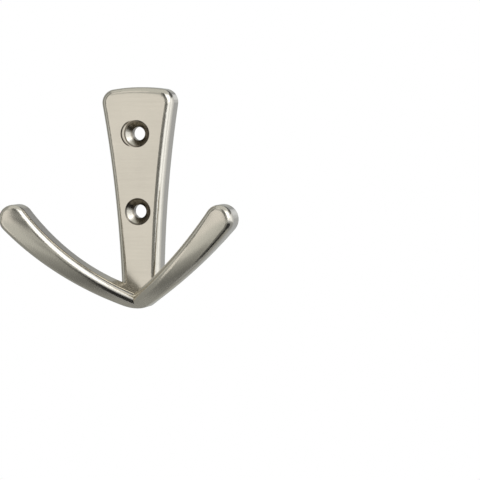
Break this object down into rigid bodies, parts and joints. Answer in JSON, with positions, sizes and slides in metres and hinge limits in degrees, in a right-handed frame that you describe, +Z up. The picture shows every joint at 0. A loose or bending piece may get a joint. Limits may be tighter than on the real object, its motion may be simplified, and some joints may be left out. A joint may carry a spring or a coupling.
{
  "type": "double robe hook",
  "caption": "Wall hook with a tapered, countersunk back plate and round-tipped arms that leave its foot in a V and curve forward and up.",
  "frame": {"origin": "on the back face that lies against the wall, midway between the screw holes", "axes": "+X to the right seen from the front, +Y into the wall, +Z up"},
  "size_m": [0.0774, 0.031, 0.071],
  "materials": {
    "satin_nickel": "satin nickel on die-cast zinc, brushed on the flat faces and brighter on the rounded edges"
  },
  "bodies": {
    "root": {"hook_body": "satin_nickel"}
  },
  "joints": []
}
